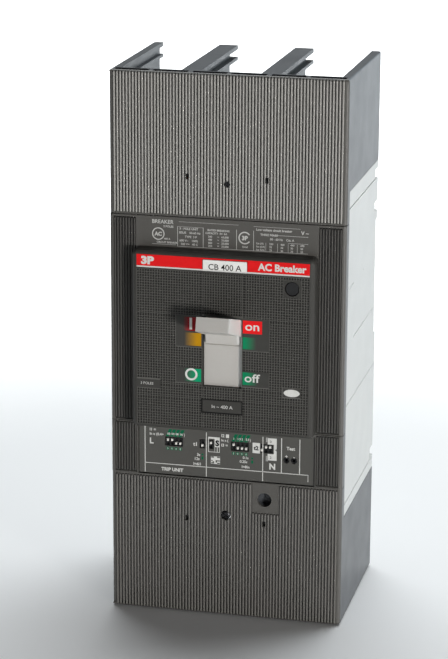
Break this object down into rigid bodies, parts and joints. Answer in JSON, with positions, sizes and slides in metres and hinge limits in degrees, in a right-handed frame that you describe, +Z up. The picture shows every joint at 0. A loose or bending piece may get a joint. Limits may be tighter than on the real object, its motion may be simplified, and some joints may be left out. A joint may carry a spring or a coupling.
{
  "type": "molded case circuit breaker",
  "caption": "Molded case circuit breaker with ribbed terminal covers, toggle handle, push-to-trip button and electronic trip unit with slide switches.",
  "frame": {"origin": "centre of the flat mounting face at the back of the base", "axes": "+Y out of the back towards the mounting plate, +Z up towards the line terminals, +X to the right seen from the front"},
  "size_m": [0.1396, 0.1382, 0.327],
  "materials": {
    "light_plastic": "satin light grey moulding",
    "dark_plastic": "satin dark grey moulding",
    "escutcheon_plastic": "fine dimpled dark moulding",
    "handle_plastic": "satin light grey",
    "black_plastic": "satin black",
    "white_plastic": "satin white",
    "label": "printed label",
    "board": "solder mask",
    "steel": "zinc plated",
    "copper": "bare copper",
    "brass": "turned brass",
    "insulation": "moulded thermoset"
  },
  "bodies": {
    "case": {"base": "light_plastic", "mid_cover": "dark_plastic", "relay_cover": "dark_plastic", "front_plate": "escutcheon_plastic", "label_insert": "label", "rating_plate": "escutcheon_plastic", "upper_terminal_cover": "dark_plastic", "lower_terminal_cover": "dark_plastic", "upper_cover_screw": "steel", "lower_cover_screw": "steel", "trip_unit_housing": "dark_plastic", "switch_board": "board", "test_socket_plus": "brass", "test_socket_minus": "brass", "mechanism_frame_left": "steel", "mechanism_frame_right": "steel", "cradle": "steel", "trip_solenoid": "black_plastic", "line_conductor_1": "copper", "load_conductor_1": "copper", "flexible_braid_1": "copper", "arc_chute_1": "steel", "current_transformer_1": "black_plastic", "line_conductor_2": "copper", "load_conductor_2": "copper", "flexible_braid_2": "copper", "arc_chute_2": "steel", "current_transformer_2": "black_plastic", "line_conductor_3": "copper", "load_conductor_3": "copper", "flexible_braid_3": "copper", "arc_chute_3": "steel", "current_transformer_3": "black_plastic"},
    "handle": {"toggle_handle": "handle_plastic", "handle_yoke": "steel", "main_spring_left": "steel", "main_spring_right": "steel"},
    "contact_shaft": {"crossbar": "insulation", "contact_arm_1": "copper", "contact_arm_2": "copper", "contact_arm_3": "copper"},
    "upper_link": {"upper_link": "steel"},
    "lower_link": {"lower_link": "steel"},
    "trip_bar": {"trip_bar": "insulation"},
    "trip_test_button": {"trip_test_button": "black_plastic"},
    "solenoid_plunger": {"solenoid_plunger": "steel"},
    "switch_long_1": {"switch_long_1": "white_plastic"},
    "switch_long_2": {"switch_long_2": "white_plastic"},
    "switch_long_3": {"switch_long_3": "white_plastic"},
    "switch_long_4": {"switch_long_4": "white_plastic"},
    "switch_inst_1": {"switch_inst_1": "white_plastic"},
    "switch_inst_2": {"switch_inst_2": "white_plastic"},
    "switch_inst_3": {"switch_inst_3": "white_plastic"},
    "switch_inst_4": {"switch_inst_4": "white_plastic"},
    "switch_neutral_1": {"switch_neutral_1": "white_plastic"},
    "switch_neutral_2": {"switch_neutral_2": "white_plastic"},
    "switch_neutral_3": {"switch_neutral_3": "white_plastic"},
    "switch_t1": {"switch_t1": "white_plastic"},
    "switch_short": {"switch_short": "white_plastic"}
  },
  "joints": [
    {"name": "handle_swing", "type": "hinge", "parent": "case", "child": "handle", "pos_m": [0, -0.0645, 0.0031], "axis": [1, 0, 0], "range_deg": [0, 35]},
    {"name": "contact_shaft_turn", "type": "hinge", "parent": "case", "child": "contact_shaft", "pos_m": [0, -0.04, -0.005], "axis": [1, 0, 0], "range_deg": [0, 38]},
    {"name": "upper_link_swing", "type": "hinge", "parent": "case", "child": "upper_link", "pos_m": [0, -0.076, -0.008], "axis": [1, 0, 0], "range_deg": [0, 33.6]},
    {"name": "lower_link_swing", "type": "hinge", "parent": "contact_shaft", "child": "lower_link", "pos_m": [0, -0.0444, 0.0114], "axis": [1, 0, 0], "range_deg": [-80.3, 0]},
    {"name": "trip_bar_turn", "type": "hinge", "parent": "case", "child": "trip_bar", "pos_m": [0, -0.088, 0.03], "axis": [1, 0, 0], "range_deg": [-12.37, 0], "stiffness_Nm_per_rad": 0.08, "springref_deg": 8.02},
    {"name": "trip_test_push", "type": "slide", "parent": "case", "child": "trip_test_button", "axis": [0, 1, 0], "range_m": [0, 0.003]},
    {"name": "solenoid_stroke", "type": "slide", "parent": "case", "child": "solenoid_plunger", "axis": [0, 0, 1], "range_m": [0, 0.004], "stiffness_N_per_m": 300, "springref_m": -0.003},
    {"name": "switch_long_1_slide", "type": "slide", "parent": "case", "child": "switch_long_1", "axis": [0, 0, 1], "range_m": [-0.002, 0]},
    {"name": "switch_long_2_slide", "type": "slide", "parent": "case", "child": "switch_long_2", "axis": [0, 0, 1], "range_m": [-0.002, 0]},
    {"name": "switch_long_3_slide", "type": "slide", "parent": "case", "child": "switch_long_3", "axis": [0, 0, 1], "range_m": [0, 0.002]},
    {"name": "switch_long_4_slide", "type": "slide", "parent": "case", "child": "switch_long_4", "axis": [0, 0, 1], "range_m": [0, 0.002]},
    {"name": "switch_inst_1_slide", "type": "slide", "parent": "case", "child": "switch_inst_1", "axis": [0, 0, 1], "range_m": [-0.002, 0]},
    {"name": "switch_inst_2_slide", "type": "slide", "parent": "case", "child": "switch_inst_2", "axis": [0, 0, 1], "range_m": [0, 0.002]},
    {"name": "switch_inst_3_slide", "type": "slide", "parent": "case", "child": "switch_inst_3", "axis": [0, 0, 1], "range_m": [0, 0.002]},
    {"name": "switch_inst_4_slide", "type": "slide", "parent": "case", "child": "switch_inst_4", "axis": [0, 0, 1], "range_m": [0, 0.002]},
    {"name": "switch_neutral_1_slide", "type": "slide", "parent": "case", "child": "switch_neutral_1", "axis": [0, 0, 1], "range_m": [0, 0.002]},
    {"name": "switch_neutral_2_slide", "type": "slide", "parent": "case", "child": "switch_neutral_2", "axis": [0, 0, 1], "range_m": [-0.002, 0]},
    {"name": "switch_neutral_3_slide", "type": "slide", "parent": "case", "child": "switch_neutral_3", "axis": [0, 0, 1], "range_m": [-0.002, 0]},
    {"name": "switch_t1_slide", "type": "slide", "parent": "case", "child": "switch_t1", "axis": [0, 0, 1], "range_m": [0, 0.002]},
    {"name": "switch_short_slide", "type": "slide", "parent": "case", "child": "switch_short", "axis": [0, 0, 1], "range_m": [-0.002, 0]}
  ],
  "couplings": [
    {"joint": "contact_shaft_turn", "follows": "handle_swing", "ratio": 1.0857},
    {"joint": "upper_link_swing", "follows": "handle_swing", "ratio": 0.96},
    {"joint": "lower_link_swing", "follows": "handle_swing", "ratio": -2.2943},
    {"joint": "trip_test_push", "follows": "trip_bar_turn", "m_per_rad": -0.013889}
  ]
}
